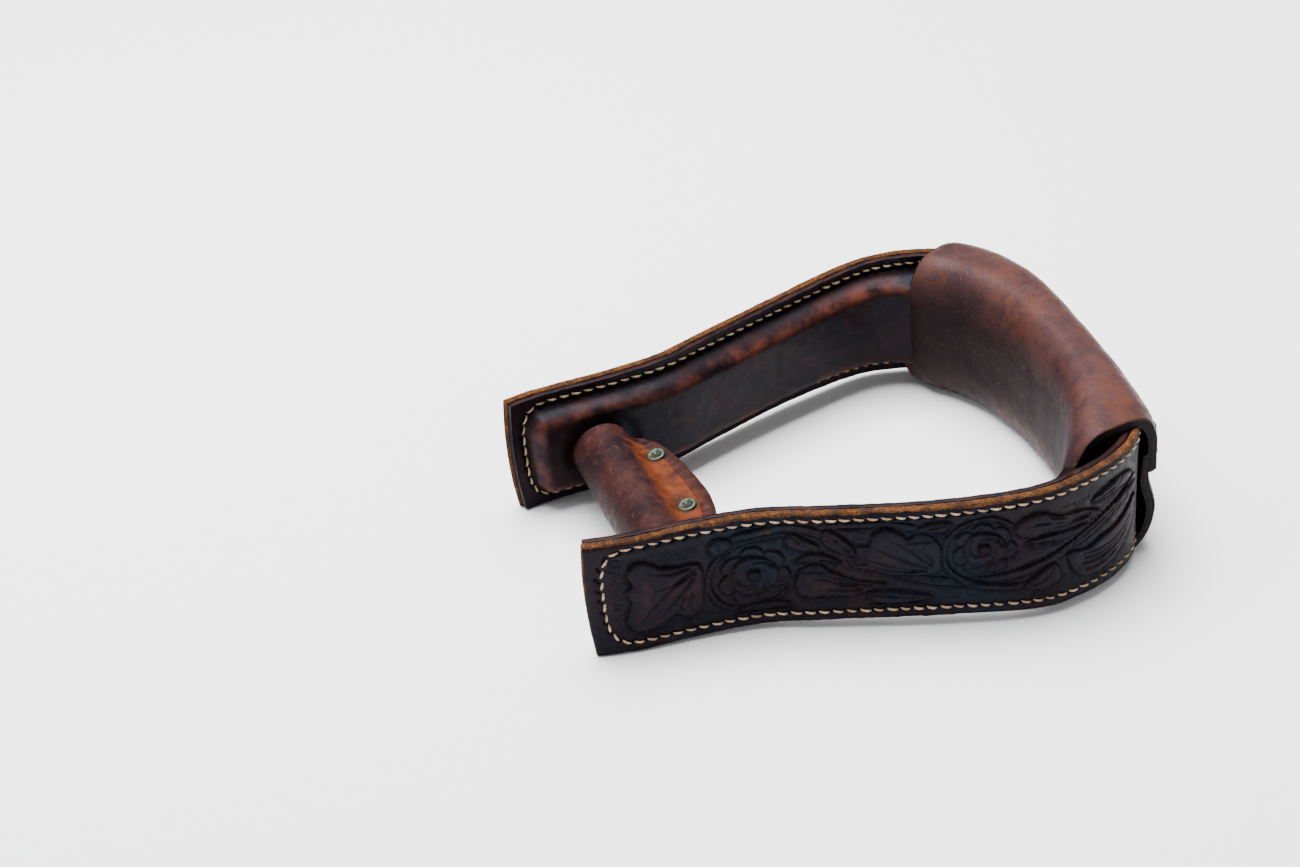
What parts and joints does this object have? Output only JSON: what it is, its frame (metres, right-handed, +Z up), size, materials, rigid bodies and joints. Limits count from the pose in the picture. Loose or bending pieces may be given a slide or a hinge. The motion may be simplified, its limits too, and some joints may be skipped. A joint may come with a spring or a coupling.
{
  "type": "western stirrup",
  "caption": "Bell-shaped western stirrup: bent wood covered in stitched leather, tooled on one side, with a laced tread cover and a turning leather sleeve on its bar.",
  "frame": {"origin": "middle of the object's box, on the surface it lies on", "axes": "+Z up with the stirrup lying on its side, +X from the bar end towards the tread, +Y along the bar towards the plain side"},
  "size_m": [0.22, 0.1754, 0.062],
  "materials": {
    "tooled_leather": "near-black purple-brown tooled leather, raw orange-brown edges",
    "plain_leather": "near-black smooth leather, dusty in places",
    "lining_leather": "dark red-brown moulded leather, glossy, worn along the shoulders",
    "cover_leather": "smooth red-brown leather, scuffed, black cut edges",
    "sleeve_leather": "red-brown leather, orange-tan on the flap",
    "lace": "dark flat leather lace",
    "thread": "waxed cream linen thread",
    "wood": "bare steam-bent hardwood",
    "steel": "plain steel",
    "rivet_metal": "brass with green patina"
  },
  "bodies": {
    "stirrup": {"bent_wood_frame": "wood", "tooled_outer_strap": "tooled_leather", "plain_outer_strap": "plain_leather", "tooled_side_lining": "lining_leather", "plain_side_lining": "lining_leather", "tooled_side_seam_top_thread": "thread", "tooled_side_seam_bobbin_thread": "thread", "plain_side_seam_top_thread": "thread", "plain_side_seam_bobbin_thread": "thread", "tread_cover": "cover_leather", "tread_cover_lace": "lace", "bar_bolt": "steel", "bar_bolt_nut": "steel", "tooled_side_bolt_washer": "steel", "plain_side_bolt_washer": "steel", "bar_spool": "wood"},
    "sleeve": {"bar_sleeve": "sleeve_leather", "tooled_side_sleeve_rivet": "rivet_metal", "plain_side_sleeve_rivet": "rivet_metal"}
  },
  "joints": [
    {"name": "sleeve_turn", "type": "hinge", "parent": "stirrup", "child": "sleeve", "pos_m": [-0.07501, 0, 0.0261], "axis": [0, 1, 0], "continuous": true}
  ]
}
